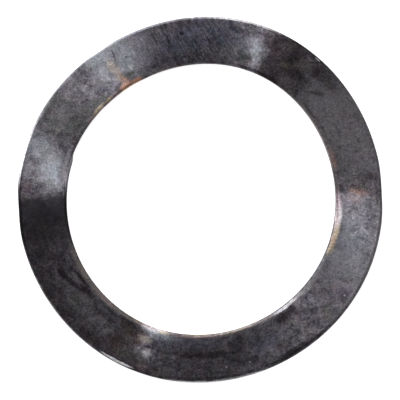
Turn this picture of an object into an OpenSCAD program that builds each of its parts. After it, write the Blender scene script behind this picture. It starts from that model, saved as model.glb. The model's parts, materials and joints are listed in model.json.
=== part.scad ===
// Wave washer: a flat ring of spring strip pressed into an even wave, with every
// edge rounded by tumbling. It lies on its troughs, in millimetres, +Z up.
// The face is a strip swept round the ring. The strip always stands square to the
// slope under it, so the sheet keeps its thickness on the flanks, and it is swept a
// little too wide at first and then cut back to true round walls.

/* [Ring] */
// Outer diameter
outer_d = 34.5; // [30:0.5:60]
// Diameter of the hole
hole_d = 25.5; // [16:0.5:26]
// Thickness of the sheet
sheet_t = 0.5; // [0.35:0.05:0.8]

/* [Wave] */
// Number of waves round the ring
waves = 3; // [2:1:5]
// Height of the washer with no load on it
free_h = 3.2; // [1.8:0.1:4.6]
// Direction of the first crest, turning from +X towards +Y
crest_at = 64; // [0:1:120]

/* [Edges] */
// How far the upper edge's rounding reaches in over the face
top_round_in = 0.34; // [0.1:0.02:0.6]
// How far the upper edge's rounding falls
top_round_fall = 0.18; // [0.04:0.01:0.18]
// How far the lower edge's rounding reaches in over the face
under_round_in = 0.2; // [0.1:0.02:0.6]
// How far the lower edge's rounding falls
under_round_fall = 0.1; // [0.04:0.01:0.12]

/* [Wear] */
// Direction of the nick in the rim, turning from +X towards +Y
nick_at = 92.6; // [0:0.1:360]
// Depth of the nick
nick_depth = 0.12; // [0.04:0.02:0.4]
// Width of the nick at the rim
nick_w = 0.3; // [0.1:0.05:1]

/* [Hidden] */

spring_colour = [0.2, 0.2, 0.21];

// Sampling
steps_per_wave = 48; // facets along one wave, an even number so that each crest and trough has a level facet
round_steps = 4;     // facets across each rounding
round_end = 68;      // how far round its ellipse each rounding goes, in degrees
face_strips = 2;     // facets across each face
round_fn = 240;      // sides of a round wall when it is shown as a mesh

// The strip is swept this much wider than the ring on each side
spare = 0.05;
// The hole's wall is a run of arcs, one on each crest, trough and flank. Their
// centres stand this far from the axis, which keeps each arc a wall of its own.
arc_shift = 0.04;
arcs_per_wave = 4;
// A cutter passes this far beyond what it cuts
beyond = 1;

steps = waves * steps_per_wave;
step = 360 / steps;
outer_r = outer_d / 2;
hole_r = hole_d / 2;
half_t = sheet_t / 2;
mid_h = free_h / 2;
// The level facets stand at the full height, so the wave itself rises a hair higher
swing = (free_h - sheet_t) / 2 / cos(waves * step / 2);

// Height of the middle of the sheet at an angle, and its slope along the circle of radius r
function mid_z(a) = mid_h + swing * cos(waves * (a - crest_at));
function slope(a, r) = atan(-swing * waves * sin(waves * (a - crest_at)) / r);

// A point of the ring: on radius r, h above the middle of the sheet, square to the slope
function at(a, r, h) = let (s = slope(a, r)) [
    r * cos(a) + h * sin(s) * sin(a),
    r * sin(a) - h * sin(s) * cos(a),
    mid_z(a) + h * cos(s)
];

// One rounded corner as [inset from the wall, height] pairs, from the face to the wall
function corner(reach, fall, side) = [
    for (i = [0 : round_steps])
        let (a = round_end * i / round_steps)
        [reach - (reach + spare) * sin(a) / sin(round_end),
         side * (half_t - fall * (1 - cos(a)) / (1 - cos(round_end)))]
];
function reversed(list) = [for (i = [len(list) - 1 : -1 : 0]) list[i]];

// The strip's outline, as [radius, height], running out over the top and back underneath
function face_run(from, to, h) = [
    for (i = [1 : face_strips - 1]) [from + (to - from) * i / face_strips, h]
];
top_out = [for (p = corner(top_round_in, top_round_fall, 1)) [outer_r - p[0], p[1]]];
top_in = [for (p = corner(top_round_in, top_round_fall, 1)) [hole_r + p[0], p[1]]];
under_out = [for (p = corner(under_round_in, under_round_fall, -1)) [outer_r - p[0], p[1]]];
under_in = [for (p = corner(under_round_in, under_round_fall, -1)) [hole_r + p[0], p[1]]];
strip = concat(
    reversed(top_in),
    face_run(hole_r + top_round_in, outer_r - top_round_in, half_t),
    top_out,
    reversed(under_out),
    face_run(outer_r - under_round_in, hole_r + under_round_in, -half_t),
    under_in
);

module waved_strip() {
    n = len(strip);
    points = [
        for (k = [0 : steps - 1], p = strip)
            at(crest_at + step * (k + 0.5), p[0], p[1])
    ];
    faces = [
        for (k = [0 : steps - 1], i = [0 : n - 1])
            let (here = k * n, next = ((k + 1) % steps) * n, j = (i + 1) % n)
            each [
                [here + i, next + i, next + j],
                [here + i, next + j, here + j]
            ]
    ];
    polyhedron(points, faces, convexity = 8);
}

// A round cutter whose wall is a run of shallow arcs that meet edge to edge
module hole_cutter() {
    arcs = waves * arcs_per_wave;
    intersection_for (i = [0 : arcs - 1])
        rotate(crest_at + 360 * i / arcs)
            translate([arc_shift, 0, -beyond])
                cylinder(r = hole_r + arc_shift, h = free_h + 2 * beyond, $fn = round_fn);
}

// A three-sided cutter for the nick, with its point in the ring
module nick_cutter() {
    rotate(nick_at)
        translate([outer_r - nick_depth, 0, -beyond])
            linear_extrude(free_h + 2 * beyond)
                polygon([[0, 0], [2 * nick_depth, -nick_w], [2 * nick_depth, nick_w]]);
}

module wave_washer() {
    color(spring_colour)
        difference() {
            intersection() {
                waved_strip();
                translate([0, 0, -beyond])
                    cylinder(r = outer_r, h = free_h + 2 * beyond, $fn = round_fn);
            }
            hole_cutter();
            nick_cutter();
        }
}

wave_washer();
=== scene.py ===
# %% [markdown]
# # A wave washer
# A wave washer is a flat spring. A ring is punched from thin strip, pressed into a few even waves,
# hardened in oil and tumbled. It is one piece of metal, so this lesson is about two things only: one
# surface that follows a rule, and the finish that fire, oil and handling leave on bare spring steel,
# with some highlights and shade painted into that finish.
#
# The imported model gives the sizes. Everything here is in metres and stays where that model has it.

# %% Load the imported model
import json
import math

import bpy
from mathutils import Matrix, Quaternion, Vector


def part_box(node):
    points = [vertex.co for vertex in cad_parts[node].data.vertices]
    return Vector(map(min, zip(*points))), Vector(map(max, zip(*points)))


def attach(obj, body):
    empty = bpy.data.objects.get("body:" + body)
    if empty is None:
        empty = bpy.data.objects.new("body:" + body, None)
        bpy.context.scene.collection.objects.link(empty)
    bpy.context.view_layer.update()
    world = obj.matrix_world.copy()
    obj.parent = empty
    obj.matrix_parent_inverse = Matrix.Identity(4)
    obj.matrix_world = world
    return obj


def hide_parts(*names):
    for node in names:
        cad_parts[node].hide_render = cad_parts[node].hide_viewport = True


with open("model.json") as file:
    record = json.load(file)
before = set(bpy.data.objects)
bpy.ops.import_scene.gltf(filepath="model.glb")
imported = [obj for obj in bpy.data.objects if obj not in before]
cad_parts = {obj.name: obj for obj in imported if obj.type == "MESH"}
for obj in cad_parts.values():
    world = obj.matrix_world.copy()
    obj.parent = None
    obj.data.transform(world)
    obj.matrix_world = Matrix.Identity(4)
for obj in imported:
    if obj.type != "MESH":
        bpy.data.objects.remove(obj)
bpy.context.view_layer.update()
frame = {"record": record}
MM = 0.001
low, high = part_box("wave_washer")
print("CAD box in mm:", [round(value / MM, 3) for value in (*low, *high)])

# %% [markdown]
# ## Sizes
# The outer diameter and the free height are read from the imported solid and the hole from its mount, so
# the surface below lies where the solid lies. Sheet thickness, the count of waves, the first crest and
# the rounding of the edges are the same values that the solid was made with. A rounding has a reach,
# which is how far in from the wall it starts, and a fall, which is how far it drops.

# %% Sizes
OUTER_D = high[0] - low[0]
FREE_H = high[2] - low[2]
bore = next(mount for mount in frame["record"]["mounts"] if mount["name"] == "bore")
HOLE_D = 2 * bore["dims"]["r_mm"] * MM
SHEET_T = 0.5 * MM
WAVES = 3
FIRST_CREST = math.radians(64)
TOP_REACH, TOP_FALL = 0.34 * MM, 0.18 * MM
UNDER_REACH, UNDER_FALL = 0.2 * MM, 0.1 * MM
for name, size in {"outer": OUTER_D, "hole": HOLE_D, "free height": FREE_H}.items():
    print(name, round(size / MM, 2), "mm")


# %% [markdown]
# ## One helper for every node
# Node trees are long to write out. This function adds one node, sets its options and fills its sockets,
# in order or by name. A socket takes a number, a vector, a colour, or another node, whose first output
# is then linked.

# %% Add a node
def add(tree, kind, sockets=(), **options):
    """A new node of that kind, with its options set and its sockets filled."""
    node = tree.nodes.new(kind)
    for name, value in options.items():
        setattr(node, name, value)
    pairs = sockets.items() if isinstance(sockets, dict) else enumerate(sockets)
    for socket, value in pairs:
        if isinstance(value, bpy.types.Node):
            value = value.outputs[0]
        if isinstance(value, bpy.types.NodeSocket):
            tree.links.new(value, node.inputs[socket])
        elif value is not None:
            node.inputs[socket].default_value = value
    return node


# %% [markdown]
# ## The ring
# The shape is a rule: a thin section goes once round the axis, rises and falls as a cosine, and always
# stands square to the slope under it, so that the sheet keeps its thickness on the flanks.
#
# A bevelled curve, a bent plane or a lattice could give the wave, but each of them stretches the
# section a little. Geometry Nodes can place every point by the rule itself. A small circle is swept
# round a large one only to get a closed skin whose points know their own two angles, and the rule then
# says where each point goes.

# %% The ring's tree and its named inputs
RING_INPUTS = {
    "Outer diameter": ("NodeSocketFloat", OUTER_D),
    "Hole diameter": ("NodeSocketFloat", HOLE_D),
    "Sheet thickness": ("NodeSocketFloat", SHEET_T),
    "Free height": ("NodeSocketFloat", FREE_H),
    "Waves": ("NodeSocketFloat", WAVES),
    "First crest": ("NodeSocketFloat", FIRST_CREST),
    "Top rounding reach": ("NodeSocketFloat", TOP_REACH),
    "Top rounding fall": ("NodeSocketFloat", TOP_FALL),
    "Under rounding reach": ("NodeSocketFloat", UNDER_REACH),
    "Under rounding fall": ("NodeSocketFloat", UNDER_FALL),
    "Uneven tumbling": ("NodeSocketFloat", 0.45),
    "Unevenness of the sheet": ("NodeSocketFloat", 0.012 * MM),
    "Lip in the hole": ("NodeSocketFloat", 0.15 * MM),
    "Nick in the rim": ("NodeSocketFloat", 0.12 * MM),
    "Flats on the rim": ("NodeSocketFloat", 0.09 * MM),
    "Out of round": ("NodeSocketFloat", 0.05 * MM),
    "Points round the ring": ("NodeSocketInt", 900),
    "Points round the section": ("NodeSocketInt", 84),
    "Finish": ("NodeSocketMaterial", None),
}

ring_tree = bpy.data.node_groups.new("wave_ring", "GeometryNodeTree")
for name, (socket_kind, _) in RING_INPUTS.items():
    ring_tree.interface.new_socket(name, in_out="INPUT", socket_type=socket_kind)
ring_tree.interface.new_socket("Geometry", in_out="OUTPUT", socket_type="NodeSocketGeometry")
given = add(ring_tree, "NodeGroupInput").outputs
print("named inputs of the ring:", len(RING_INPUTS))

# %% Two circles whose points know their angle
TURN = 2 * math.pi


def numbered_circle(count):
    """A circle of that many points, each carrying the angle at the middle of its step."""
    circle = add(ring_tree, "GeometryNodeCurvePrimitiveCircle", {"Resolution": count})
    number = add(ring_tree, "GeometryNodeSplineParameter").outputs["Index"]
    middle = add(ring_tree, "ShaderNodeMath", [number, 0.5], operation="ADD")
    share = add(ring_tree, "ShaderNodeMath", [middle, count], operation="DIVIDE")
    angle = add(ring_tree, "ShaderNodeMath", [share, TURN], operation="MULTIPLY")
    carried = add(ring_tree, "GeometryNodeCaptureAttribute")
    carried.capture_items.new("FLOAT", "angle")
    ring_tree.links.new(circle.outputs[0], carried.inputs[0])
    ring_tree.links.new(angle.outputs[0], carried.inputs[1])
    return carried.outputs[0], carried.outputs[1]


ring_curve, around = numbered_circle(given["Points round the ring"])
section_curve, section = numbered_circle(given["Points round the section"])
skin = add(ring_tree, "GeometryNodeCurveToMesh", {"Curve": ring_curve, "Profile Curve": section_curve})

# %% [markdown]
# ### From wall to wall
# A point's radius lies between the two walls. It follows a cosine of its angle in the section, which
# crowds the points on the rounded edges, where the light turns fastest, and leaves few on the flat
# faces.
#
# No ring is perfect: the hole stands in by a hair along one stretch, where the tool was worn, and the
# outer edge has one small nick and three places where it was pressed a little flat. All are places
# round the ring, so each is a window on the angle. Hardening has also left the ring a twentieth of a
# millimetre out of round, wider along one axis and narrower across it.

# %% The hole's wall, with its lip
LIP_STARTS, LIP_FULL = math.radians(160), math.radians(164.5)
LIP_FADES, LIP_ENDS = math.radians(172), math.radians(214)

hole_r = add(ring_tree, "ShaderNodeMath", [given["Hole diameter"], 0.5], operation="MULTIPLY")
lip_grows = add(ring_tree, "ShaderNodeMapRange", [around, LIP_STARTS, LIP_FULL],
                interpolation_type="SMOOTHSTEP")
lip_shrinks = add(ring_tree, "ShaderNodeMapRange", [around, LIP_FADES, LIP_ENDS, 1.0, 0.0],
                  interpolation_type="SMOOTHSTEP")
lip = add(ring_tree, "ShaderNodeMath", [lip_grows, lip_shrinks], operation="MULTIPLY")
lip_depth = add(ring_tree, "ShaderNodeMath", [lip, given["Lip in the hole"]], operation="MULTIPLY")
inner_wall = add(ring_tree, "ShaderNodeMath", [hole_r, lip_depth], operation="SUBTRACT")
print("lip in the hole:", round(math.degrees(LIP_ENDS - LIP_STARTS)), "degrees long")

# %% The outer wall, with its nick and its flats
# the input that gives the depth, and the middle angle and half length in degrees
RIM_DIPS = [
    ("Nick in the rim", 92.6, 0.6),
    ("Flats on the rim", 3, 11),
    ("Flats on the rim", 124, 7),
    ("Flats on the rim", 184, 9),
]

outer_wall = add(ring_tree, "ShaderNodeMath", [given["Outer diameter"], 0.5], operation="MULTIPLY")
for depth, middle, half_length in RIM_DIPS:
    from_middle = add(ring_tree, "ShaderNodeMath", [around, math.radians(middle)], operation="SUBTRACT")
    nearer = add(ring_tree, "ShaderNodeMath", [from_middle, math.pi, -math.pi], operation="WRAP")
    off_middle = add(ring_tree, "ShaderNodeMath", [nearer], operation="ABSOLUTE")
    dip = add(ring_tree, "ShaderNodeMapRange",
              [off_middle, 0.0, math.radians(half_length), given[depth], 0.0],
              interpolation_type="SMOOTHSTEP")
    outer_wall = add(ring_tree, "ShaderNodeMath", [outer_wall, dip], operation="SUBTRACT")
print("dips in the outer wall:", len(RIM_DIPS))

# %% Radius of a point
LONG_AXIS = math.radians(70)

over = add(ring_tree, "ShaderNodeMath", [section], operation="COSINE")
round_radius = add(ring_tree, "ShaderNodeMapRange", [over, -1.0, 1.0, inner_wall, outer_wall])
to_outer = add(ring_tree, "ShaderNodeMath", [outer_wall, round_radius], operation="SUBTRACT")
to_inner = add(ring_tree, "ShaderNodeMath", [round_radius, inner_wall], operation="SUBTRACT")
to_wall = add(ring_tree, "ShaderNodeMath", [to_outer, to_inner], operation="MINIMUM")
from_long_axis = add(ring_tree, "ShaderNodeMath", [around, LONG_AXIS], operation="SUBTRACT")
twice = add(ring_tree, "ShaderNodeMath", [from_long_axis, 2.0], operation="MULTIPLY")
ovalness = add(ring_tree, "ShaderNodeMath", [twice], operation="COSINE")
radius = add(ring_tree, "ShaderNodeMath", [ovalness, given["Out of round"], round_radius],
             operation="MULTIPLY_ADD")
east = add(ring_tree, "ShaderNodeMath", [around], operation="COSINE")
north = add(ring_tree, "ShaderNodeMath", [around], operation="SINE")
bearing = add(ring_tree, "ShaderNodeCombineXYZ", [east, north])
plan = add(ring_tree, "ShaderNodeVectorMath", {0: bearing, "Scale": radius}, operation="SCALE")
print("the ring is widest along", round(math.degrees(LONG_AXIS)), "degrees")

# %% [markdown]
# ### The section
# Near a wall the face falls away on a quarter of an ellipse. The punch draws the upper edge down with
# it, so the rounding there is larger than underneath, where the burr was. Tumbling never rounds an edge
# evenly, so a slow noise round the ring, with patches of about 4 mm, makes the rounding reach further
# in some places than in others.
#
# The press and the hardening bath leave the strip slightly uneven, in hollows of about 2.5 mm, which
# shows only in how it reflects. So the skin is also pressed in by about a hundredth of a millimetre
# here and there. It only ever goes in, and the ring keeps its size.

# %% Rounded edges
TUMBLED_SCALE = 0.26 / MM

upward = add(ring_tree, "ShaderNodeMath", [section], operation="SINE")
side = add(ring_tree, "ShaderNodeMath", [upward], operation="SIGN")
usual_reach = add(ring_tree, "ShaderNodeMapRange",
                  [side, -1.0, 1.0, given["Under rounding reach"], given["Top rounding reach"]])
round_fall = add(ring_tree, "ShaderNodeMapRange",
                 [side, -1.0, 1.0, given["Under rounding fall"], given["Top rounding fall"]])
tumbling = add(ring_tree, "ShaderNodeTexNoise", {"Vector": plan, "Scale": TUMBLED_SCALE, "Detail": 2.0})
uneven = add(ring_tree, "ShaderNodeMapRange", [tumbling, 0.25, 0.75, -1.0, 1.0])
reach_factor = add(ring_tree, "ShaderNodeMath", [uneven, given["Uneven tumbling"], 1.0],
                   operation="MULTIPLY_ADD")
reach = add(ring_tree, "ShaderNodeMath", [usual_reach, reach_factor], operation="MULTIPLY")
near_wall = add(ring_tree, "ShaderNodeMapRange", [to_wall, 0.0, reach, 1.0, 0.0])
squared = add(ring_tree, "ShaderNodeMath", [near_wall, 2.0], operation="POWER")
left_over = add(ring_tree, "ShaderNodeMath", [1.0, squared], operation="SUBTRACT")
ellipse = add(ring_tree, "ShaderNodeMath", [left_over], operation="SQRT")
fallen = add(ring_tree, "ShaderNodeMapRange", [ellipse, 1.0, 0.0, 0.0, round_fall])
print("patches of uneven rounding:", round(1 / TUMBLED_SCALE / MM, 1), "mm")

# %% Height of a point over the middle of the sheet
HOLLOW_SCALE = 0.42 / MM

hollows = add(ring_tree, "ShaderNodeTexNoise", {"Vector": plan, "Scale": HOLLOW_SCALE, "Detail": 1.0})
hollow = add(ring_tree, "ShaderNodeMapRange", [hollows, 0.5, 0.8, 0.0, given["Unevenness of the sheet"]])
half_t = add(ring_tree, "ShaderNodeMath", [given["Sheet thickness"], 0.5], operation="MULTIPLY")
lowered = add(ring_tree, "ShaderNodeMath", [half_t, fallen], operation="SUBTRACT")
face_h = add(ring_tree, "ShaderNodeMath", [lowered, hollow], operation="SUBTRACT")
height = add(ring_tree, "ShaderNodeMath", [face_h, side], operation="MULTIPLY")
print("hollows in the sheet:", round(1 / HOLLOW_SCALE / MM, 1), "mm")

# %% [markdown]
# ### The wave
# The middle of the sheet follows a cosine with three crests, and the slope under a point is how fast
# that cosine rises along its own circle: steeper at the hole than at the rim. The point's height is
# turned by that slope, and the whole is then turned to its place round the axis.

# %% Rise and slope of the sheet
from_crest = add(ring_tree, "ShaderNodeMath", [around, given["First crest"]], operation="SUBTRACT")
phase = add(ring_tree, "ShaderNodeMath", [from_crest, given["Waves"]], operation="MULTIPLY")
travel = add(ring_tree, "ShaderNodeMath", [given["Free height"], given["Sheet thickness"]],
             operation="SUBTRACT")
swing = add(ring_tree, "ShaderNodeMath", [travel, 0.5], operation="MULTIPLY")
half_h = add(ring_tree, "ShaderNodeMath", [given["Free height"], 0.5], operation="MULTIPLY")
rise = add(ring_tree, "ShaderNodeMath", [phase], operation="COSINE")
middle_z = add(ring_tree, "ShaderNodeMath", [rise, swing, half_h], operation="MULTIPLY_ADD")
swing_waves = add(ring_tree, "ShaderNodeMath", [swing, given["Waves"]], operation="MULTIPLY")
turn_rate = add(ring_tree, "ShaderNodeMath", [phase], operation="SINE")
climb = add(ring_tree, "ShaderNodeMath", [swing_waves, turn_rate], operation="MULTIPLY")
fall = add(ring_tree, "ShaderNodeMath", [climb, radius], operation="DIVIDE")
slope = add(ring_tree, "ShaderNodeMath", [fall], operation="ARCTANGENT")
steepest = math.atan((FREE_H - SHEET_T) * WAVES / HOLE_D)
print("steepest slope, at the hole:", round(math.degrees(steepest), 1), "degrees")

# %% Every point placed by the rule
upright = add(ring_tree, "ShaderNodeCombineXYZ", {"Z": height})
square = add(ring_tree, "ShaderNodeVectorRotate", {"Vector": upright, "Angle": slope},
             rotation_type="X_AXIS", invert=True)
on_sheet = add(ring_tree, "ShaderNodeCombineXYZ", {"X": radius, "Z": middle_z})
local = add(ring_tree, "ShaderNodeVectorMath", [on_sheet, square], operation="ADD")
place = add(ring_tree, "ShaderNodeVectorRotate", {"Vector": local, "Angle": around},
            rotation_type="Z_AXIS")

# %% Finish the tree
placed = add(ring_tree, "GeometryNodeSetPosition", {"Geometry": skin, "Position": place})
smooth = add(ring_tree, "GeometryNodeSetShadeSmooth", {"Geometry": placed})
real = add(ring_tree, "GeometryNodeRealizeInstances", {"Geometry": smooth})
finished = add(ring_tree, "GeometryNodeSetMaterial", {"Geometry": real, "Material": given["Finish"]})
add(ring_tree, "NodeGroupOutput", {"Geometry": finished})
print("ring tree:", len(ring_tree.nodes), "nodes")


# %% [markdown]
# ## The finish: oil-quenched spring steel
# The ring was heated red hot, quenched in oil, tempered and tumbled. That leaves a thin black-grey
# oxide over the steel, dark but still a mirror for broad light, a little purple, and cloudy because the
# scale did not grow evenly. Where the film is thinner it shows its temper colours, from straw to copper
# and blue, and where hands and the barrel have rubbed it the steel comes through.
#
# An image could carry all this, but it would have to be unwrapped and painted. Here it is built from
# layers of noise, so it lies in the metal itself and is right from any side, except the painted
# highlights and painted shade in it, which suit only this camera and these lamps. Object coordinates in
# millimetres keep every pattern at its real scale: the Scale of each noise below is the count of its
# blotches in one millimetre, so 0.9 means clouds of 1.1 mm and 5.6 means grains of 0.18 mm.

# %% Colours
def linear(hex_colour):
    """The linear RGBA of an sRGB hex colour."""
    parts = [int(hex_colour[start:start + 2], 16) / 255 for start in (1, 3, 5)]
    light = [part / 12.92 if part <= 0.04045 else ((part + 0.055) / 1.055) ** 2.4 for part in parts]
    return (*light, 1.0)


# Colours of oxide and rubbed metal. Several of them also paint highlights and shade onto the waves, one
# paints only the glint on the rim, and one only the shade past the crest at 184 degrees.
FINISH_COLOURS = {
    "thick scale": "#3f3b40",
    "thin scale": "#6f6c73",
    "near-black painted shade": "#1f1d20",
    "black scale and painted shade": "#2b2629",
    "brown scale and painted shade": "#383131",
    "green scale": "#494a48",
    "blue film": "#4c4c5a",
    "violet film": "#5f5660",
    "worn brown": "#8d837c",
    "worn grey and painted light": "#7e7a7f",
    "rubbed steel and painted highlight": "#84878d",
    "rubbed violet and painted highlight": "#88858f",
    "bare steel and painted highlight": "#bdbbbf",
    "painted rim glint": "#f1f1f3",
    "straw film": "#93886b",
    "rubbed straw and painted light": "#d2c0a4",
    "copper film": "#96705f",
    "rubbed copper": "#b48670",
    "rose film": "#857577",
    "rubbed rose": "#b59ca2",
}
print("oxides and rubbed metal:", len(FINISH_COLOURS))

# %% The finish starts with a place on the ring, in millimetres
finish = bpy.data.materials.new("oil_quenched_spring_steel")
finish.use_nodes = True
steel = finish.node_tree
steel.nodes.clear()
here = add(steel, "ShaderNodeTexCoord").outputs["Object"]
mm = add(steel, "ShaderNodeVectorMath", {0: here, "Scale": 1 / MM}, operation="SCALE")
print("material:", finish.name)

# %% [markdown]
# ### Cloudy scale
# The scale is thicker and darker, or thinner and lighter, in clouds of about a millimetre, each with
# smaller clouds in it.

# %% Clouds
CLOUDS_PER_MM = 0.9

clouds = add(steel, "ShaderNodeTexNoise",
             {"Vector": mm, "Scale": CLOUDS_PER_MM, "Detail": 8.0, "Roughness": 0.68, "Distortion": 0.8})
cloudy = add(steel, "ShaderNodeMapRange", [clouds, 0.38, 0.62, 0.0, 1.0])
clouded = add(steel, "ShaderNodeMix",
              {0: cloudy, 6: linear(FINISH_COLOURS["thick scale"]), 7: linear(FINISH_COLOURS["thin scale"])},
              data_type="RGBA")
tone = clouded.outputs[2]
print("clouds:", round(1 / CLOUDS_PER_MM, 2), "mm")

# %% [markdown]
# ### Stains, painted highlights and painted shade
# A stain, and each painted highlight and painted shade among the stains, is a blurred, ragged oval on
# the
# ring: it has a middle, a half length round the ring in degrees, a half width across it in millimetres,
# a lean in degrees for each millimetre outwards, and a soft border. One small group makes its shape.

# %% The shape of an oval
OVAL_INPUTS = (
    "Angle", "Radius", "Middle angle", "Half length", "Middle radius", "Half width", "Lean", "Soft")
oval_shape = bpy.data.node_groups.new("oval_shape", "ShaderNodeTree")
for name in OVAL_INPUTS:
    oval_shape.interface.new_socket(name, in_out="INPUT", socket_type="NodeSocketFloat")
oval_shape.interface.new_socket("Mask", in_out="OUTPUT", socket_type="NodeSocketFloat")
asked = add(oval_shape, "NodeGroupInput").outputs
outward = add(oval_shape, "ShaderNodeMath", [asked["Radius"], asked["Middle radius"]],
              operation="SUBTRACT")
leaned = add(oval_shape, "ShaderNodeMath", [outward, asked["Lean"], asked["Middle angle"]],
             operation="MULTIPLY_ADD")
onward = add(oval_shape, "ShaderNodeMath", [asked["Angle"], leaned], operation="SUBTRACT")
nearest = add(oval_shape, "ShaderNodeMath", [onward, 180.0, -180.0], operation="WRAP")
along = add(oval_shape, "ShaderNodeMath", [nearest, asked["Half length"]], operation="DIVIDE")
across = add(oval_shape, "ShaderNodeMath", [outward, asked["Half width"]], operation="DIVIDE")
offset = add(oval_shape, "ShaderNodeCombineXYZ", [along, across])
away = add(oval_shape, "ShaderNodeVectorMath", [offset], operation="LENGTH")
border = add(oval_shape, "ShaderNodeMath", [away.outputs["Value"], 1.0], operation="SUBTRACT")
soft_border = add(oval_shape, "ShaderNodeMath", [border, asked["Soft"]], operation="DIVIDE")
mask = add(oval_shape, "ShaderNodeMapRange", [soft_border, -1.0, 1.0, 1.0, 0.0],
           interpolation_type="SMOOTHSTEP")
add(oval_shape, "NodeGroupOutput", [mask])
print("stain shape:", len(oval_shape.nodes), "nodes")

# %% [markdown]
# A border is ragged because the place that it is measured from is shaken by noise. For a broad stain on
# the face that is about half a millimetre, for a small mark less than half of that, and for the finest
# ones, which would otherwise fall apart, a few hundredths. The noise is centred on zero and seldom gets
# past a quarter, so the values here, in millimetres, are larger than the shake that comes out.

# %% A shaken place on the ring, as an angle and a radius
SHAKES = {"face": 2.0, "mark": 0.8, "fine": 0.25}
SHAKES_PER_MM = 1.2

shake = add(steel, "ShaderNodeTexNoise",
            {"Vector": mm, "Scale": SHAKES_PER_MM, "Detail": 6.0, "Roughness": 0.78})
centred = add(steel, "ShaderNodeVectorMath", [shake.outputs["Color"], (0.5, 0.5, 0.5)],
              operation="SUBTRACT")
PLACES = {}
for use, shaken_mm in SHAKES.items():
    shaken_by = add(steel, "ShaderNodeVectorMath", {0: centred, "Scale": shaken_mm}, operation="SCALE")
    shaken = add(steel, "ShaderNodeVectorMath", [mm, shaken_by], operation="ADD")
    parts = add(steel, "ShaderNodeSeparateXYZ", [shaken])
    turned = add(steel, "ShaderNodeMath", [parts.outputs["Y"], parts.outputs["X"]], operation="ARCTAN2")
    level = add(steel, "ShaderNodeCombineXYZ", [parts.outputs["X"], parts.outputs["Y"]])
    length = add(steel, "ShaderNodeVectorMath", [level], operation="LENGTH")
    angle = add(steel, "ShaderNodeMath", [turned], operation="DEGREES")
    PLACES[use] = (angle, length.outputs["Value"])
print("places to measure from:", *PLACES)
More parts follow.
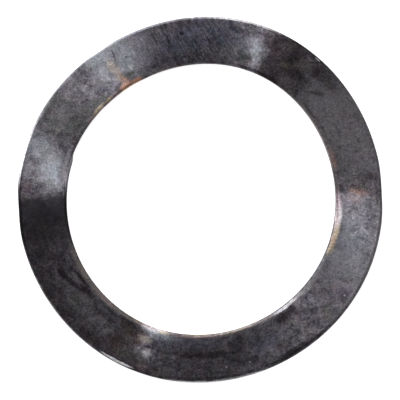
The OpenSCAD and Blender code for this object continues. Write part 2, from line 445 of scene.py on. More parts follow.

# %% [markdown]
# Most rows are stains named by their oxide or rubbed metal; the rows marked below as painted are
# highlights and shade painted in, where they shape the reflections of the lamps. Angles run
# anticlockwise from the X axis, and the ring lies between radius 12.75 and 17.25 mm. The values of a row
# are: colour, strength, middle angle, half length, middle radius, half width, lean, soft. The rows go
# roughly round the ring, and a later row lies over an earlier one.

# %% Stains, painted highlights and painted shade on the face
FACE_STAINS_AND_PAINTED_LIGHT = [
    ("rose film", 0.40, 1.5, 2.4, 14.9, 1.1, 0.0, 0.60),
    ("brown scale and painted shade", 0.50, 6.5, 3.2, 15.0, 1.7, 0.0, 0.60),
    ("worn grey and painted light", 0.90, 28, 15.5, 14.9, 2.8, 0.0, 0.55),
    ("worn grey and painted light", 0.35, 41, 5.0, 13.7, 0.8, 0.0, 0.60),
    ("worn grey and painted light", 0.70, 21.5, 8.0, 15.9, 1.1, 0.0, 0.60),
    ("brown scale and painted shade", 0.55, 56, 9.4, 15.2, 5.0, -0.5, 0.30),
    ("brown scale and painted shade", 0.50, 47, 5.0, 16.3, 0.7, 0.0, 0.50),
    # painted shade on the flank before the first crest, ending in a sharp line at 65 degrees
    ("black scale and painted shade", 0.85, 60.4, 5.2, 15.0, 5.0, -0.5, 0.28),
    ("blue film", 0.40, 77, 4.0, 15.3, 0.9, 0.0, 0.80),
    # painted highlight at 70 degrees, just past the first crest, with painted shade above it at the rim
    ("rubbed violet and painted highlight", 0.40, 72.5, 3.6, 15.3, 0.8, 0.0, 0.90),
    ("rubbed steel and painted highlight", 0.72, 69.9, 2.2, 14.9, 1.1, 0.9, 0.90),
    ("black scale and painted shade", 0.75, 65.0, 4.0, 16.2, 1.0, 0.0, 0.60),
    ("black scale and painted shade", 0.30, 73, 4.0, 16.2, 0.4, 0.0, 0.60),
    ("green scale", 0.40, 81.5, 3.5, 14.2, 1.0, 2.0, 0.50),
    ("blue film", 0.75, 90, 11.0, 15.5, 1.4, 0.0, 0.60),
    ("violet film", 0.45, 93, 6.5, 16.6, 0.5, 0.0, 0.60),
    ("black scale and painted shade", 0.35, 88, 6.0, 14.0, 1.0, 0.0, 0.60),
    ("blue film", 0.55, 102, 7.0, 14.3, 0.7, 0.0, 0.60),
    ("black scale and painted shade", 0.50, 95, 9.0, 13.4, 0.5, 0.0, 0.60),
    # painted highlight from 110 to 127 degrees
    ("rubbed violet and painted highlight", 0.88, 114.0, 5.6, 15.6, 1.6, -0.8, 0.90),
    ("rubbed steel and painted highlight", 0.75, 117.5, 3.4, 15.5, 1.7, 0.0, 0.60),
    ("rubbed steel and painted highlight", 0.50, 126, 3.6, 15.5, 1.8, 0.0, 0.60),
    ("rubbed steel and painted highlight", 0.65, 123, 7.5, 16.9, 0.6, 0.0, 0.60),
    ("worn grey and painted light", 0.45, 130.5, 2.8, 14.9, 0.9, 0.0, 0.60),
    ("black scale and painted shade", 0.30, 134.5, 3.6, 16.7, 0.7, 0.0, 0.60),
    ("green scale", 0.75, 136.5, 5.2, 13.35, 0.4, 0.0, 0.60),
    ("worn brown", 0.65, 123.2, 1.3, 14.8, 1.3, 0.4, 0.60),
    ("green scale", 0.60, 149, 9.0, 14.8, 2.2, 0.0, 0.50),
    ("worn grey and painted light", 0.30, 151.5, 3.5, 15.0, 0.4, 0.0, 0.60),
    ("brown scale and painted shade", 0.30, 151, 8.0, 13.3, 0.35, 0.0, 0.50),
    # painted highlight at 170 degrees, with painted shade at its outer end
    ("rubbed steel and painted highlight", 0.42, 162.2, 4.2, 15.9, 1.2, 0.0, 0.60),
    ("rubbed steel and painted highlight", 0.95, 169.4, 5.6, 14.15, 1.0, -0.6, 0.70),
    ("black scale and painted shade", 0.40, 176.5, 4.0, 16.3, 1.1, 0.0, 0.60),
    ("black scale and painted shade", 0.60, 178.5, 3.2, 16.6, 0.9, 0.0, 0.60),
    ("black scale and painted shade", 0.30, 198, 8.0, 15.0, 2.6, 0.0, 0.70),
    ("brown scale and painted shade", 0.15, 214, 20.0, 14.8, 2.0, 0.0, 0.50),
    ("black scale and painted shade", 0.45, 208, 13.0, 16.3, 1.1, 0.0, 0.50),
    ("black scale and painted shade", 0.60, 224, 12.0, 16.8, 0.5, 0.0, 0.60),
    ("worn grey and painted light", 0.25, 218, 12.0, 14.9, 0.7, 0.0, 0.60),
    ("brown scale and painted shade", 0.50, 193, 4.0, 15.6, 1.2, 0.0, 0.60),
    ("green scale", 0.50, 220, 4.0, 15.0, 0.6, 0.0, 0.60),
    ("black scale and painted shade", 0.70, 235, 7.5, 16.5, 0.65, 0.0, 0.50),
    # painted shade that moves the lamps' reflection towards 250 degrees
    ("brown scale and painted shade", 0.80, 242, 5.0, 14.8, 2.2, 0.0, 0.35),
    ("black scale and painted shade", 0.30, 241, 5.0, 14.8, 2.4, 0.0, 0.50),
    ("green scale", 0.50, 243.5, 3.0, 16.2, 0.5, 0.0, 0.50),
    ("black scale and painted shade", 0.70, 249, 8.0, 16.8, 0.9, 0.0, 0.60),
    # painted highlight near the hole at 255 degrees
    ("rubbed steel and painted highlight", 0.80, 255, 6.4, 13.3, 0.45, 0.0, 0.60),
    ("black scale and painted shade", 0.55, 268, 14.0, 15.2, 2.0, 0.0, 0.50),
    ("black scale and painted shade", 0.50, 284, 4.0, 14.8, 1.8, -1.0, 0.50),
    ("blue film", 0.50, 268, 9.0, 13.7, 0.4, 0.0, 0.50),
    ("blue film", 0.50, 294.5, 5.0, 14.9, 0.8, 0.0, 0.60),
    ("black scale and painted shade", 0.30, 306, 8.0, 15.0, 1.4, 0.0, 0.60),
    ("black scale and painted shade", 0.45, 304, 10.0, 13.95, 0.4, 0.0, 0.60),
    ("violet film", 0.40, 325, 5.0, 15.4, 1.0, 0.0, 0.60),
    ("worn grey and painted light", 0.45, 336, 4.0, 16.1, 1.0, 0.0, 0.60),
    # painted highlight from 328 to 352 degrees
    ("rubbed steel and painted highlight", 0.36, 340, 12.0, 14.9, 2.0, 0.0, 0.70),
]

# %% Small marks, which keep their outline
SMALL_MARKS = [
    ("copper film", 0.30, 3.2, 0.9, 14.9, 0.75, -0.8, 0.70),
    ("black scale and painted shade", 0.65, 5.0, 1.7, 13.3, 0.28, 0.0, 0.50),
    ("black scale and painted shade", 0.40, 8.2, 1.0, 16.3, 0.6, 0.0, 0.50),
    ("black scale and painted shade", 0.55, 2.5, 5.0, 16.65, 0.22, 0.0, 0.50),
    ("green scale", 0.25, 10, 1.3, 16.2, 0.35, 0.0, 0.60),
    ("blue film", 0.45, 15, 1.2, 15.7, 0.25, 0.0, 0.50),
    ("violet film", 0.40, 14, 1.2, 15.0, 0.4, 0.0, 0.50),
    ("black scale and painted shade", 0.60, 17.5, 0.6, 15.3, 0.18, 0.0, 0.50),
    ("green scale", 0.35, 18, 1.5, 13.5, 0.2, 0.0, 0.50),
    ("black scale and painted shade", 0.45, 13.7, 0.5, 16.95, 0.16, 0.0, 0.50),
    ("black scale and painted shade", 0.40, 20.8, 0.6, 15.9, 0.14, 0.0, 0.50),
    ("black scale and painted shade", 0.50, 20.6, 0.5, 14.0, 0.18, 0.0, 0.50),
    ("black scale and painted shade", 0.38, 26.5, 2.2, 14.5, 0.14, -4.0, 0.60),
    ("black scale and painted shade", 0.45, 27.3, 0.4, 15.9, 0.14, 0.0, 0.50),
    ("green scale", 0.45, 28.0, 1.2, 16.7, 0.25, 0.0, 0.60),
    ("black scale and painted shade", 0.50, 30.0, 1.6, 13.3, 0.14, 0.0, 0.50),
    ("worn grey and painted light", 0.35, 33.0, 1.8, 15.1, 0.30, -3.0, 0.60),
    ("black scale and painted shade", 0.50, 39, 5.0, 13.2, 0.12, 0.0, 0.50),
    ("black scale and painted shade", 0.60, 42.5, 1.2, 14.7, 0.5, -4.0, 0.50),
    ("black scale and painted shade", 0.75, 52.5, 3.6, 14.7, 0.60, -2.0, 0.60),
    ("brown scale and painted shade", 0.45, 43, 3.6, 16.3, 0.70, 0.0, 0.60),
    ("green scale", 0.50, 52, 2.2, 15.9, 0.25, 0.0, 0.60),
    ("green scale", 0.45, 57.5, 2.0, 14.8, 0.30, 0.0, 0.60),
    ("green scale", 0.45, 56, 1.6, 13.8, 0.30, 0.0, 0.60),
    ("green scale", 0.40, 60.5, 2.0, 16.4, 0.30, 0.0, 0.60),
    ("black scale and painted shade", 0.40, 61.5, 2.5, 16.6, 0.5, 0.0, 0.60),
    ("worn grey and painted light", 0.25, 47, 2.6, 15.3, 0.2, -4.0, 0.50),
    ("worn grey and painted light", 0.14, 50.5, 2.6, 15.9, 0.8, 0.0, 0.60),
    ("green scale", 0.45, 73, 2.2, 13.8, 0.5, 0.0, 0.50),
    ("black scale and painted shade", 0.60, 85, 2.2, 14.8, 0.45, 2.0, 0.60),
    ("rubbed violet and painted highlight", 0.20, 90, 2.5, 15.7, 0.4, 0.0, 0.60),
    ("rubbed violet and painted highlight", 0.15, 105, 2.2, 15.2, 1.2, 0.0, 0.60),
    ("copper film", 0.50, 122.4, 1.4, 13.6, 0.45, 0.0, 0.70),
    ("green scale", 0.85, 119.3, 2.0, 13.75, 0.28, 0.0, 0.50),
    ("blue film", 0.60, 131.5, 2.6, 14.1, 0.35, 0.0, 0.60),
    ("bare steel and painted highlight", 0.35, 117.6, 0.9, 14.4, 0.35, 0.0, 0.60),
    ("black scale and painted shade", 0.80, 117.4, 0.6, 15.4, 0.08, 0.0, 0.50),
    ("worn grey and painted light", 0.40, 138.5, 2.2, 16.2, 0.4, 0.0, 0.50),
    ("black scale and painted shade", 0.50, 155.8, 1.6, 14.5, 0.3, 0.0, 0.50),
    ("black scale and painted shade", 0.35, 156.5, 0.8, 15.5, 0.4, 0.0, 0.50),
    ("black scale and painted shade", 0.50, 150.5, 2.6, 16.6, 0.25, 0.0, 0.50),
    ("black scale and painted shade", 0.50, 148, 1.0, 14.3, 0.18, 0.0, 0.50),
    ("black scale and painted shade", 0.25, 169, 5.0, 13.4, 0.25, 0.0, 0.60),
    ("black scale and painted shade", 0.35, 176, 1.8, 14.9, 0.4, 0.0, 0.60),
    ("black scale and painted shade", 0.45, 203.5, 2.5, 14.5, 0.5, -3.0, 0.50),
    ("worn brown", 0.35, 218, 2.2, 15.55, 0.14, -6.0, 0.50),
    ("worn grey and painted light", 0.35, 213, 2.5, 13.9, 0.15, 0.0, 0.60),
    ("violet film", 0.30, 320, 2.4, 16.0, 0.5, 0.0, 0.50),
    ("rose film", 0.30, 325.5, 1.2, 15.1, 0.35, -4.0, 0.60),
    ("worn grey and painted light", 0.30, 310, 1.6, 16.2, 0.25, -2.0, 0.50),
    ("black scale and painted shade", 0.85, 208.3, 2.4, 14.8, 0.34, 0.0, 0.60),
    ("black scale and painted shade", 0.85, 212.5, 2.8, 14.5, 0.5, -11.0, 0.60),
    ("black scale and painted shade", 0.85, 218.5, 3.4, 13.85, 0.26, 0.0, 0.60),
    ("black scale and painted shade", 0.85, 213.5, 3.0, 13.55, 0.24, -17.0, 0.60),
    ("black scale and painted shade", 0.62, 229.5, 3.6, 14.2, 0.26, -3.0, 0.50),
    ("black scale and painted shade", 0.60, 231, 3.5, 13.55, 0.12, -3.0, 0.50),
    ("black scale and painted shade", 0.40, 230.5, 2.0, 15.6, 0.35, 0.0, 0.60),
    ("black scale and painted shade", 0.80, 239.5, 4.0, 13.4, 0.3, 0.0, 0.50),
    ("brown scale and painted shade", 0.60, 239, 3.5, 15.4, 0.5, 0.0, 0.50),
    # painted highlight in the streak at 250 degrees
    ("bare steel and painted highlight", 0.36, 250.4, 1.5, 15.4, 0.4, 0.0, 0.60),
    ("worn brown", 0.60, 248.2, 2.4, 14.15, 0.32, 0.0, 0.50),
    ("black scale and painted shade", 0.60, 247.5, 2.8, 16.2, 0.6, 0.0, 0.60),
    ("black scale and painted shade", 0.90, 250.6, 1.3, 14.75, 0.1, 0.0, 0.50),
    ("black scale and painted shade", 0.60, 245.8, 2.0, 14.8, 0.16, 3.0, 0.50),
    ("blue film", 0.45, 254.5, 2.6, 13.9, 0.4, 2.0, 0.50),
    ("black scale and painted shade", 0.60, 254.2, 0.6, 14.9, 0.4, 0.0, 0.50),
    ("rubbed steel and painted highlight", 0.20, 259, 3.0, 15.1, 0.12, -4.0, 0.60),
    ("black scale and painted shade", 0.85, 270.5, 9.5, 14.8, 0.28, 0.0, 0.50),
    ("black scale and painted shade", 0.65, 288, 2.0, 16.0, 0.5, 0.0, 0.50),
    ("black scale and painted shade", 0.45, 299, 2.6, 15.9, 0.35, 0.0, 0.60),
    ("black scale and painted shade", 0.95, 304.0, 3.2, 13.60, 0.45, 0.0, 0.50),
    ("black scale and painted shade", 0.90, 308.6, 2.6, 13.45, 0.30, 0.0, 0.50),
    ("black scale and painted shade", 0.25, 310.5, 2.0, 14.4, 0.6, 0.0, 0.60),
    ("black scale and painted shade", 0.70, 316, 1.0, 14.9, 0.25, 0.0, 0.50),
    ("green scale", 0.70, 317, 2.4, 16.0, 0.6, -2.0, 0.50),
    ("black scale and painted shade", 0.25, 320, 2.0, 14.1, 0.35, 0.0, 0.60),
    ("green scale", 0.35, 340, 3.5, 16.5, 0.35, 0.0, 0.60),
    ("black scale and painted shade", 0.18, 348.5, 3.0, 16.4, 0.45, 0.0, 0.60),
    ("rubbed steel and painted highlight", 0.25, 351, 4.5, 13.95, 0.35, 0.0, 0.60),
    ("rubbed steel and painted highlight", 0.20, 0, 1.5, 15.6, 0.5, 0.0, 0.60),
]

# %% The finest marks: specks, lines of colour at the hole, and painted highlights and painted shade along the edges
FINE_MARKS = [
    # specks and lines on the face
    ("black scale and painted shade", 0.90, 96.7, 0.7, 15.85, 0.16, 0.0, 0.50),
    ("black scale and painted shade", 0.60, 121.0, 0.25, 16.1, 0.60, -0.7, 0.60),
    ("black scale and painted shade", 0.60, 134.2, 0.25, 15.3, 0.60, 1.5, 0.60),
    ("black scale and painted shade", 0.45, 125.4, 0.20, 14.7, 0.40, -1.8, 0.60),
    ("bare steel and painted highlight", 0.60, 278.5, 0.3, 16.05, 0.08, 0.0, 0.50),
    ("bare steel and painted highlight", 0.40, 286.5, 0.3, 16.1, 0.08, 0.0, 0.50),
    ("bare steel and painted highlight", 0.60, 325.7, 0.3, 16.3, 0.08, 0.0, 0.50),
    ("bare steel and painted highlight", 0.40, 76.6, 0.3, 16.9, 0.08, 0.0, 0.50),
    # the outer edge: painted highlights and painted shade along the rounded rim, and a painted glint
    # between two painted dark lines at 242 degrees
    ("bare steel and painted highlight", 0.80, 50, 0.9, 17.08, 0.06, 0.0, 0.50),
    ("worn grey and painted light", 0.50, 335, 24.0, 16.95, 0.22, 0.0, 0.60),
    ("worn grey and painted light", 0.70, 11, 6.0, 16.98, 0.14, 0.0, 0.60),
    ("black scale and painted shade", 0.40, 25, 30.0, 17.24, 0.05, 0.0, 0.50),
    ("bare steel and painted highlight", 0.60, 77, 13.0, 17.20, 0.10, 0.0, 0.50),
    ("black scale and painted shade", 0.30, 75.5, 2.5, 16.85, 0.12, 0.0, 0.60),
    ("rubbed steel and painted highlight", 0.60, 132, 30.0, 17.20, 0.12, 0.0, 0.50),
    ("rubbed steel and painted highlight", 0.35, 98, 8.0, 17.24, 0.06, 0.0, 0.50),
    ("black scale and painted shade", 0.25, 107, 5.0, 16.90, 0.14, 0.0, 0.60),
    ("painted rim glint", 0.60, 165, 9.5, 17.12, 0.13, 0.0, 0.50),
    ("black scale and painted shade", 0.50, 177, 7.0, 16.98, 0.07, 0.0, 0.50),
    ("black scale and painted shade", 0.85, 188, 10.0, 17.12, 0.20, 0.0, 0.40),
    ("bare steel and painted highlight", 0.30, 216, 17.0, 17.23, 0.05, 0.0, 0.50),
    ("black scale and painted shade", 0.60, 242.3, 6.4, 16.95, 0.08, 0.0, 0.50),
    ("painted rim glint", 1.00, 242.3, 5.4, 17.12, 0.11, 0.0, 0.25),
    ("black scale and painted shade", 0.85, 242.3, 4.4, 17.25, 0.05, 0.0, 0.50),
    ("black scale and painted shade", 0.65, 272, 15.0, 16.93, 0.13, 0.0, 0.50),
    ("black scale and painted shade", 0.80, 302, 12.0, 16.95, 0.15, 0.0, 0.40),
    ("bare steel and painted highlight", 0.75, 269, 9.0, 17.24, 0.07, 0.0, 0.40),
    ("bare steel and painted highlight", 0.70, 281, 9.0, 17.20, 0.08, 0.0, 0.40),
    ("worn grey and painted light", 0.60, 350, 9.0, 17.05, 0.14, 0.0, 0.60),
    ("black scale and painted shade", 0.85, 302.0, 6.0, 16.75, 0.22, 0.0, 0.50),
    # the hole: temper colours and wear, with painted highlights and painted light on its rounded edge
    ("copper film", 0.50, 17.5, 3.8, 13.10, 0.24, 0.0, 0.60),
    ("rubbed rose", 0.25, 17.5, 4.0, 13.02, 0.22, 0.0, 0.60),
    ("worn grey and painted light", 0.50, 3, 5.0, 12.80, 0.12, 0.0, 0.60),
    ("worn brown", 0.40, 28, 22.0, 12.93, 0.15, 0.0, 0.50),
    ("rose film", 0.35, 106, 9.0, 12.88, 0.12, 0.0, 0.50),
    ("worn grey and painted light", 0.45, 112, 3.6, 13.05, 0.25, 0.0, 0.60),
    ("rubbed copper", 0.80, 118.0, 2.3, 12.95, 0.20, 0.0, 0.60),
    ("rubbed copper", 0.75, 123.0, 2.8, 12.95, 0.28, 0.0, 0.60),
    # painted light along the hole's rounded edge, which falls into shade here
    ("rubbed straw and painted light", 0.60, 122.5, 5.5, 12.73, 0.07, 0.0, 0.50),
    ("rose film", 0.80, 128.8, 1.5, 12.95, 0.18, 0.0, 0.60),
    ("rubbed straw and painted light", 0.60, 132, 1.6, 12.93, 0.13, 0.0, 0.60),
    ("rubbed straw and painted light", 0.70, 138, 3.6, 12.93, 0.16, 0.0, 0.60),
    ("rubbed rose", 0.50, 143.5, 2.2, 12.93, 0.14, 0.0, 0.60),
    ("worn grey and painted light", 0.40, 149.5, 5.0, 12.96, 0.20, 0.0, 0.60),
    # painted light along the hole's rounded edge from 160 to 177 degrees
    ("worn grey and painted light", 0.45, 168, 8.0, 13.04, 0.20, 0.0, 0.60),
    ("bare steel and painted highlight", 0.60, 168, 9.0, 12.70, 0.08, 0.0, 0.50),
    ("worn brown", 0.90, 219, 18.0, 12.97, 0.28, 0.0, 0.60),
    ("worn grey and painted light", 0.45, 221, 16.0, 13.00, 0.30, 0.0, 0.60),
    ("rubbed rose", 0.30, 226, 6.0, 13.02, 0.22, 0.0, 0.60),
    ("rubbed straw and painted light", 0.25, 243, 3.5, 12.90, 0.10, 0.0, 0.60),
    # painted highlight on the hole's rounded edge at 251 degrees
    ("bare steel and painted highlight", 0.82, 250.7, 4.8, 13.02, 0.26, 0.0, 0.70),
    ("rubbed rose", 0.40, 248.5, 4.0, 12.90, 0.12, 0.0, 0.70),
    ("rubbed straw and painted light", 0.55, 254.5, 2.2, 13.00, 0.14, 0.0, 0.70),
    ("brown scale and painted shade", 0.70, 268, 11.0, 12.92, 0.18, 0.0, 0.50),
    ("rose film", 0.40, 268, 12.0, 13.00, 0.15, 0.0, 0.50),
    ("straw film", 0.30, 269, 5.0, 12.86, 0.08, 0.0, 0.60),
    ("brown scale and painted shade", 0.50, 271, 4.0, 13.14, 0.06, 0.0, 0.50),
    ("worn brown", 0.50, 281, 6.0, 13.02, 0.16, 0.0, 0.60),
    ("worn brown", 0.75, 290, 13.0, 12.92, 0.12, 0.0, 0.50),
    ("worn grey and painted light", 0.80, 296, 5.0, 13.00, 0.14, 0.0, 0.60),
    # painted highlight on the hole's rounded edge at 308 degrees
    ("bare steel and painted highlight", 0.95, 307.5, 5.5, 12.97, 0.14, 0.0, 0.50),
    ("bare steel and painted highlight", 0.25, 315, 4.0, 12.97, 0.12, 0.0, 0.60),
    ("worn grey and painted light", 0.70, 320, 5.0, 13.15, 0.20, 0.0, 0.60),
    ("worn grey and painted light", 0.40, 327, 5.0, 13.12, 0.20, 0.0, 0.60),
    ("straw film", 0.40, 339.5, 2.6, 13.18, 0.22, 0.0, 0.80),
    ("rubbed straw and painted light", 0.45, 339, 3.0, 12.98, 0.10, 0.0, 0.80),
    ("rubbed copper", 0.28, 342.2, 3.2, 13.08, 0.22, 0.0, 0.80),
    ("rubbed straw and painted light", 0.50, 347, 4.6, 13.10, 0.22, 0.0, 0.80),
    # painted highlight on the hole's rounded edge at 354 degrees
    ("bare steel and painted highlight", 0.95, 354.0, 4.6, 13.06, 0.28, 0.0, 0.70),
    ("rubbed rose", 0.50, 356, 7.0, 12.98, 0.18, 0.0, 0.70),
    ("black scale and painted shade", 0.80, 224, 26.0, 12.77, 0.05, 0.0, 0.40),
    ("black scale and painted shade", 0.50, 338, 17.0, 12.76, 0.05, 0.0, 0.40),
    ("black scale and painted shade", 0.70, 300, 22.0, 12.77, 0.05, 0.0, 0.40),
]


# %% Laying the rows over a tone: stains, painted highlights and painted shade
def oval_mask_at(use, shape):
    """The mask of one oval, from the six values of its shape and the place that it is measured from."""
    values = dict(zip(OVAL_INPUTS, (*PLACES[use], *shape)))
    return add(steel, "ShaderNodeGroup", values, node_tree=oval_shape)


def laid_over(tone, rows, use):
    """The tone with every row of the list laid over it in turn, stains and painted highlights and shade
    alike.
    """
    for oxide, strength, *shape in rows:
        amount = add(steel, "ShaderNodeMath", [oval_mask_at(use, shape), strength], operation="MULTIPLY")
        covered = add(steel, "ShaderNodeMix", {0: amount, 6: tone, 7: linear(FINISH_COLOURS[oxide])},
                      data_type="RGBA")
        tone = covered.outputs[2]
    return tone


for use, rows in {"face": FACE_STAINS_AND_PAINTED_LIGHT, "mark": SMALL_MARKS, "fine": FINE_MARKS}.items():
    tone = laid_over(tone, rows, use)
    print("stains measured from the", use, "place:", len(rows))

# %% [markdown]
# ### Grain, veins and scratches
# Over the stains lies what the eye reads as texture: patches of 0.6 mm, a grain of 0.2 mm,
# which is about as fine as a render of the whole ring can show, thin dark veins where the scale has
# cracked, and slanting scratches past the first crest, where the strip was drawn over the tool. A
# scratch is a blotch of noise with its own length, width and depth in millimetres. On dark scale the
# texture is stronger than on rubbed steel, so all of it is raised to a power that grows as the tone
# gets darker.

# %% Patches and grain
PATCHES_PER_MM = 1.6
GRAINS_PER_MM = 5.6

patches = add(steel, "ShaderNodeTexNoise",
              {"Vector": mm, "Scale": PATCHES_PER_MM, "Detail": 4.0, "Roughness": 0.62,
               "Distortion": 1.5})
patchy = add(steel, "ShaderNodeMapRange", [patches, 0.4, 0.6, 0.84, 1.16])
grain = add(steel, "ShaderNodeTexNoise",
            {"Vector": mm, "Scale": GRAINS_PER_MM, "Detail": 3.0, "Roughness": 0.85, "Distortion": 0.5})
grainy = add(steel, "ShaderNodeMapRange", [grain, 0.34, 0.66, 0.52, 1.48])
even_texture = add(steel, "ShaderNodeMath", [patchy, grainy], operation="MULTIPLY")
print("patches:", round(1 / PATCHES_PER_MM, 2), "mm, grains:", round(1 / GRAINS_PER_MM, 2), "mm")

# %% Scratches: a noise drawn out along them, which shows within one large stain
SCRATCHED_SHAPE = (93, 20, 15.2, 2.6, 0.0, 0.6)
SCRATCH_TURN = math.radians(-62)
SCRATCH_MM = (1.0, 0.16, 1.0)

drawn = add(steel, "ShaderNodeMapping",
            {"Vector": mm, "Rotation": (0, 0, SCRATCH_TURN), "Scale": SCRATCH_MM},
            vector_type="TEXTURE")
strokes = add(steel, "ShaderNodeTexNoise", {"Vector": drawn, "Scale": 1.0, "Detail": 2.0})
marked = add(steel, "ShaderNodeMapRange", [strokes, 0.3, 0.7, -0.42, 0.42])
scratched = add(steel, "ShaderNodeMath", [marked, oval_mask_at("face", SCRATCHED_SHAPE), 1.0],
                operation="MULTIPLY_ADD")
scratched_texture = add(steel, "ShaderNodeMath", [even_texture, scratched], operation="MULTIPLY")
print("a scratch is about", SCRATCH_MM[0], "by", SCRATCH_MM[1], "mm")

# %% Veins, only where the scale is thin
VEINS_PER_MM = 0.75

paths = add(steel, "ShaderNodeTexNoise",
            {"Vector": mm, "Scale": VEINS_PER_MM, "Detail": 3.0, "Roughness": 0.6, "Distortion": 1.0})
from_path = add(steel, "ShaderNodeMath", [paths, 0.5], operation="SUBTRACT")
off_path = add(steel, "ShaderNodeMath", [from_path], operation="ABSOLUTE")
cracked = add(steel, "ShaderNodeMapRange", [clouds, 0.45, 0.6, 0.0, 0.4])
vein = add(steel, "ShaderNodeMapRange", [off_path, 0.003, 0.014, cracked, 0.0])
unveined = add(steel, "ShaderNodeMath", [1.0, vein], operation="SUBTRACT")
texture = add(steel, "ShaderNodeMath", [scratched_texture, unveined], operation="MULTIPLY")
print("veins are about", round(1 / VEINS_PER_MM, 1), "mm apart")

# %% Texture over tone, with a little wandering of the hue
HUES_PER_MM = 0.9

dark = add(steel, "ShaderNodeRGBToBW", [tone])
power = add(steel, "ShaderNodeMapRange", [dark, 0.03, 0.14, 1.5, 0.9])
strong = add(steel, "ShaderNodeMath", [texture, power], operation="POWER")
textured = add(steel, "ShaderNodeMix", {0: 1.0, 6: tone, 7: strong},
               data_type="RGBA", blend_type="MULTIPLY")
wander = add(steel, "ShaderNodeTexNoise",
             {"Vector": mm, "Scale": HUES_PER_MM, "Detail": 3.0, "Roughness": 0.6})
hue = add(steel, "ShaderNodeMapRange",
          {"Vector": wander.outputs["Color"], 7: (0.3, 0.3, 0.3), 8: (0.7, 0.7, 0.7),
           9: (0.9, 0.92, 0.9), 10: (1.1, 1.08, 1.1)},
          data_type="FLOAT_VECTOR")
wandering = add(steel, "ShaderNodeMapRange", [dark, 0.04, 0.14, 1.0, 0.35])
coloured = add(steel, "ShaderNodeMix", {0: wandering, 6: textured.outputs[2], 7: hue.outputs["Vector"]},
               data_type="RGBA", blend_type="MULTIPLY")
print("the hue wanders over", round(1 / HUES_PER_MM, 1), "mm")

# %% [markdown]
# ### Painted shade past a crest
# From just before the crest at 184 degrees the flank is painted almost black: this is painted shade.
# It is the blackest place on the ring, and the smoothest to look at, because it covers the texture too,
# so it comes last. It starts at a sharp line across the ring and fades out slowly along it, so its mask
# is the product of a very long oval, of which only the near end counts, and a soft one.

# %% Painted shade past the crest at 184 degrees
# the painted shade past the crest: where it starts, how it fades, and how dark it is
PAINTED_CREST_SHADE_START = (239.1, 60.0, 15.0, 40.0, 0.8, 0.035)
PAINTED_CREST_SHADE_FADE = (184.0, 11.0, 15.0, 9.0, 0.0, 0.90)
PAINTED_CREST_SHADE_STRENGTH = 0.95

painted_crest_shade = add(steel, "ShaderNodeMath", [oval_mask_at("face", PAINTED_CREST_SHADE_START), oval_mask_at("face", PAINTED_CREST_SHADE_FADE)],
           operation="MULTIPLY")
painted_crest_shade_amount = add(steel, "ShaderNodeMath", [painted_crest_shade, PAINTED_CREST_SHADE_STRENGTH], operation="MULTIPLY")
painted_crest_shaded = add(steel, "ShaderNodeMix",
            {0: painted_crest_shade_amount, 6: coloured.outputs[2], 7: linear(FINISH_COLOURS["near-black painted shade"])}, data_type="RGBA")
print("soot starts at", round(PAINTED_CREST_SHADE_START[0] - PAINTED_CREST_SHADE_START[1], 1), "degrees")

# %% [markdown]
# ### The shader
# A dark metal: the base colour is the share of light that the oxide returns, with painted highlights
# and painted shade laid into it. The tumbled surface is satin, and a little smoother where the film is
# thin. The relief is a few thousandths of a millimetre and breaks up the reflection of the lamps, as it
# does on the real ring.

# %% The shader
RELIEF_PER_MM = 2.4
RELIEF_DEPTH = 0.03 * MM

relief = add(steel, "ShaderNodeTexNoise",
             {"Vector": mm, "Scale": RELIEF_PER_MM, "Detail": 6.0, "Roughness": 0.72})
bump = add(steel, "ShaderNodeBump", {"Height": relief, "Distance": RELIEF_DEPTH, "Strength": 0.6})
satin = add(steel, "ShaderNodeMapRange", [clouds, 0.35, 0.65, 0.36, 0.26])
shader = add(steel, "ShaderNodeBsdfPrincipled",
             {"Base Color": painted_crest_shaded.outputs[2], "Metallic": 1.0, "Roughness": satin, "Normal": bump})
add(steel, "ShaderNodeOutputMaterial", {"Surface": shader})
print("finish:", len(steel.nodes), "nodes")

# %% [markdown]
# ## From the tree to a piece
# The tree runs once as a modifier. Its inputs are set by their identifiers before it is first
# evaluated, and the result is taken as a plain mesh, because the export wants real faces.

# %% The ring itself
maker = bpy.data.objects.new("ring_maker", bpy.data.meshes.new("ring_maker"))
bpy.context.collection.objects.link(maker)
wave = maker.modifiers.new("wave", "NODES")
wave.node_group = ring_tree
for item in ring_tree.interface.items_tree:
    if item.in_out == "INPUT":
        wave[item.identifier] = finish if item.name == "Finish" else RING_INPUTS[item.name][1]
evaluated = maker.evaluated_get(bpy.context.evaluated_depsgraph_get())
ring = bpy.data.objects.new("spring_ring", bpy.data.meshes.new_from_object(evaluated))
bpy.data.objects.remove(maker)
bpy.context.collection.objects.link(ring)
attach(ring, "root")
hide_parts("wave_washer")
triangles = sum(len(face.vertices) - 2 for face in ring.data.polygons)
print("ring:", len(ring.data.vertices), "points,", triangles, "triangles")

# %% [markdown]
# ## The room
# The floor is a plain white sheet. It glows a little for the eye and for reflections, so it reads as
# white while the lamps stay low, and it is still painted, so the ring keeps its soft shadow.

# %% Floor
REACH = 3.0
GLOW = 0.75

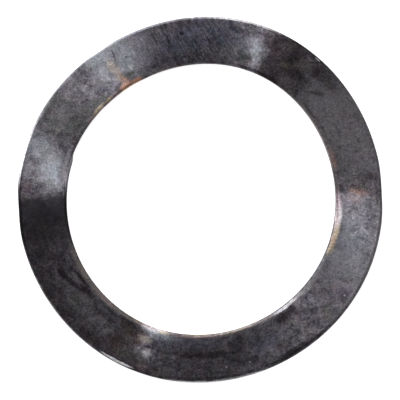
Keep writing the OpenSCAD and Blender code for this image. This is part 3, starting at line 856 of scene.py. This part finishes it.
corners = [(-REACH, -REACH, 0), (REACH, -REACH, 0), (REACH, REACH, 0), (-REACH, REACH, 0)]
floor_mesh = bpy.data.meshes.new("floor")
floor_mesh.from_pydata(corners, [], [(0, 1, 2, 3)])
floor = bpy.data.objects.new("floor", floor_mesh)
bpy.context.collection.objects.link(floor)
paper = bpy.data.materials.new("white_paper")
paper.use_nodes = True
sheet = paper.node_tree
sheet.nodes.clear()
path = add(sheet, "ShaderNodeLightPath").outputs
mirrored = add(sheet, "ShaderNodeMath", [path["Is Camera Ray"], path["Is Glossy Ray"]],
               operation="MAXIMUM")
seen = add(sheet, "ShaderNodeMath", [mirrored, path["Is Transmission Ray"]], operation="MAXIMUM")
glow = add(sheet, "ShaderNodeMath", [seen, GLOW], operation="MULTIPLY")
shine = add(sheet, "ShaderNodeEmission", {"Strength": glow})
paint = add(sheet, "ShaderNodeBsdfDiffuse", {"Color": linear("#eeeeee")})
both = add(sheet, "ShaderNodeAddShader", [shine, paint])
add(sheet, "ShaderNodeOutputMaterial", {"Surface": both})
floor_mesh.materials.append(paper)
print("floor:", 2 * REACH, "m square")

# %% [markdown]
# ### Light
# A dark mirror shows what stands round it, so the light and dark of the waves come from where the lamps
# are, and from the highlights and shade painted into the finish. Three soft panels are enough: a large
# one like a window, a smaller one overhead and a weak one low on the left. A panel's brightness is what
# its face gives off, so its power grows with its area.

# %% World
WORLD_STRENGTH = 0.42

room = bpy.data.worlds.new("room")
room.use_nodes = True
sky = room.node_tree.nodes["Background"].inputs
sky["Color"].default_value = (1, 1, 1, 1)
sky["Strength"].default_value = WORLD_STRENGTH
bpy.context.scene.world = room
print("world strength:", WORLD_STRENGTH)


# %% Lamps
def toward(from_up, azimuth):
    """The unit vector that leans that many degrees from straight up, towards that azimuth in degrees."""
    lean, heading = math.radians(from_up), math.radians(azimuth)
    sideways = math.sin(lean)
    return Vector((sideways * math.cos(heading), sideways * math.sin(heading), math.cos(lean)))


# from straight up, azimuth and roll in degrees; distance, width and depth in metres; brightness
LAMPS = {
    "overhead": (18, 84, -25, 0.6, 0.22, 0.33, 2.2),
    "window": (63, 122, 0, 0.9, 1.8, 0.75, 2.2),
    "lower_left": (70, 215, 0, 0.9, 0.6, 0.35, 1.6),
}
for name, (from_up, azimuth, roll, distance, width, depth, brightness) in LAMPS.items():
    lamp = bpy.data.lights.new(name, "AREA")
    lamp.shape, lamp.size, lamp.size_y = "RECTANGLE", width, depth
    lamp.energy = brightness * math.pi * width * depth
    holder = bpy.data.objects.new(name, lamp)
    spot = toward(from_up, azimuth)
    holder.location = spot * distance
    rolled = Quaternion((0, 0, 1), math.radians(roll))
    holder.rotation_euler = (spot.to_track_quat("Z", "Y") @ rolled).to_euler()
    bpy.context.collection.objects.link(holder)
print("lamps:", *LAMPS)

# %% [markdown]
# ### Camera
# The camera stands about ten diameters off and leans six degrees from straight down, so the ring looks
# round and its waves show mostly as light and dark. Its distance and its aim are counted in pixels of
# the render, and the ring's own diameter says how large a pixel is.

# %% Camera
PICTURE_PX = 400
RING_PX = 366.4
DISTANCE_PX = 3832
AIM_PX = (-0.89, -1.0)
CAMERA_FROM_UP, CAMERA_AZIMUTH = 5.88, -91
SENSOR_MM = 36
NEAR_CLIP = 0.01

PIXEL = OUTER_D / RING_PX
DISTANCE = DISTANCE_PX * PIXEL
target = Vector((AIM_PX[0] * PIXEL, AIM_PX[1] * PIXEL, FREE_H / 2))
view = toward(CAMERA_FROM_UP, CAMERA_AZIMUTH)
camera = bpy.data.objects.new("camera", bpy.data.cameras.new("camera"))
bpy.context.collection.objects.link(camera)
camera.location = target + view * DISTANCE
right = Vector((0, 1, 0)).cross(view).normalized()
camera.rotation_euler = Matrix((right, view.cross(right), view)).transposed().to_euler()
camera.data.sensor_width = SENSOR_MM
camera.data.lens = SENSOR_MM * DISTANCE_PX / PICTURE_PX
camera.data.clip_start = NEAR_CLIP
bpy.context.scene.camera = camera
bpy.context.scene.view_settings.view_transform = "Standard"
print("camera distance:", round(DISTANCE, 3), "m, lens:", round(camera.data.lens), "mm")
